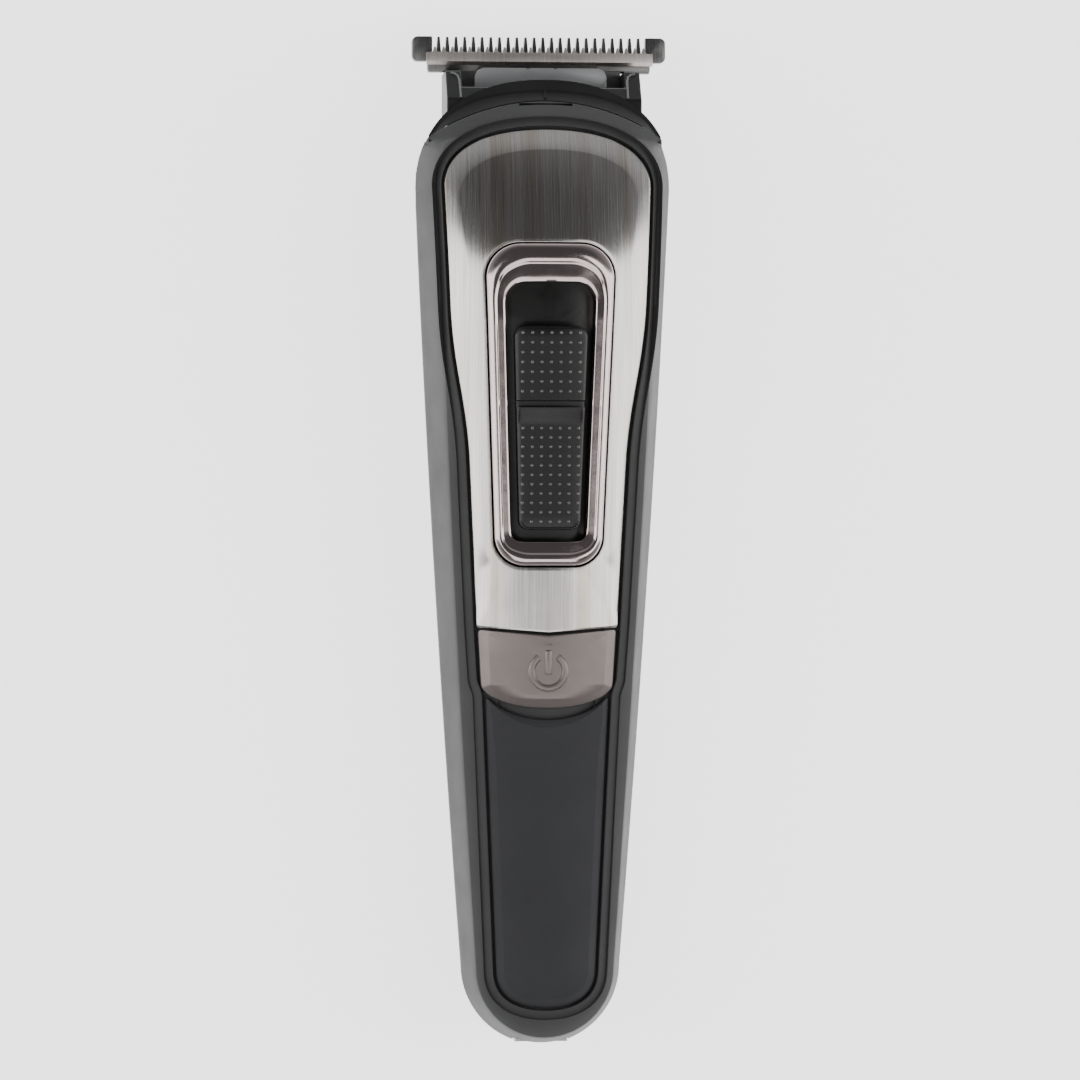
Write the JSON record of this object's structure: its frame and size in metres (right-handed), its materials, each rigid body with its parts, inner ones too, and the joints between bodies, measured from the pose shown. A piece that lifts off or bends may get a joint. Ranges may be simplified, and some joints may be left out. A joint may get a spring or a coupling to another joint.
{
  "type": "beard trimmer",
  "caption": "Cordless T-blade beard trimmer: tapered two-shell housing, brushed steel front plate, thumb slider in a bezel, power button and a lift-off cutting head.",
  "frame": {"origin": "centre of the footprint, on the surface that the flat back rests on", "axes": "+X across the front to the right, +Y along the trimmer towards the teeth, +Z out of the front face"},
  "size_m": [0.0406, 0.16, 0.0315],
  "materials": {
    "black_plastic": "fine satin texture",
    "soft_black": "soft-touch matte",
    "brushed_plate": "brushed lengthways, rolled bright edge",
    "rose_gunmetal": "metallised, rose gunmetal",
    "taupe_metal": "satin metallised, taupe",
    "satin_silver": "satin",
    "dark_steel": "ground, dark",
    "warm_steel": "ground",
    "natural_plastic": "moulded",
    "board": "solder-masked",
    "cell_wrap": "shrink film",
    "contact_brass": "plated",
    "winding_copper": "enamelled wire",
    "light_pipe": "clear"
  },
  "bodies": {
    "housing": {"front_shell": "black_plastic", "rear_shell": "black_plastic", "head_mount": "black_plastic", "steel_faceplate": "brushed_plate", "slider_bezel": "rose_gunmetal", "slot_floor": "soft_black", "lower_grip_panel": "soft_black", "chassis": "natural_plastic", "battery_cell": "cell_wrap", "battery_contact_rear": "contact_brass", "battery_contact_front": "contact_brass", "circuit_board": "board", "switch_body": "satin_silver", "status_light": "light_pipe", "charge_socket": "satin_silver", "motor_can": "satin_silver", "motor_end_cap": "natural_plastic", "motor_bush_rear": "contact_brass", "motor_bush_front": "contact_brass", "motor_bracket": "dark_steel", "motor_screw_1": "satin_silver", "motor_screw_2": "satin_silver", "housing_screw_1": "dark_steel", "housing_screw_2": "dark_steel", "housing_screw_3": "dark_steel", "button_spring": "satin_silver", "slider_spring": "satin_silver"},
    "rotor": {"motor_shaft": "dark_steel", "motor_armature": "winding_copper", "drive_cam": "natural_plastic"},
    "slider": {"thumb_slider": "soft_black", "slider_carriage": "natural_plastic"},
    "head": {"head_carrier": "black_plastic", "comb_blade": "dark_steel", "cutter_cover_plate": "satin_silver", "blade_screw_1": "satin_silver", "blade_screw_2": "satin_silver"},
    "cutter": {"cutter_blade": "warm_steel", "drive_fork": "natural_plastic"},
    "button": {"power_button": "taupe_metal"},
    "plunger": {"switch_plunger": "soft_black"}
  },
  "joints": [
    {"name": "slider_release", "type": "slide", "parent": "housing", "child": "slider", "axis": [0, 1, 0], "range_m": [0, 0.0055], "stiffness_N_per_m": 250, "deforming": ["slider_spring"]},
    {"name": "head_lift_off", "type": "slide", "parent": "slider", "child": "head", "axis": [0, 1, 0], "range_m": [0, 0.025]},
    {"name": "cutter_stroke", "type": "slide", "parent": "head", "child": "cutter", "axis": [1, 0, 0], "range_m": [-0.001, 0.001]},
    {"name": "motor_spin", "type": "hinge", "parent": "housing", "child": "rotor", "pos_m": [0, 0.031, 0.0138], "axis": [0, 1, 0], "continuous": true},
    {"name": "power_press", "type": "slide", "parent": "housing", "child": "button", "axis": [0, 0, -1], "range_m": [0, 0.0005], "stiffness_N_per_m": 2500, "deforming": ["button_spring"]},
    {"name": "switch_press", "type": "slide", "parent": "housing", "child": "plunger", "axis": [0, 0, -1], "range_m": [0, 0.0005]}
  ],
  "couplings": [
    {"joint": "switch_press", "follows": "power_press", "ratio": 1}
  ]
}
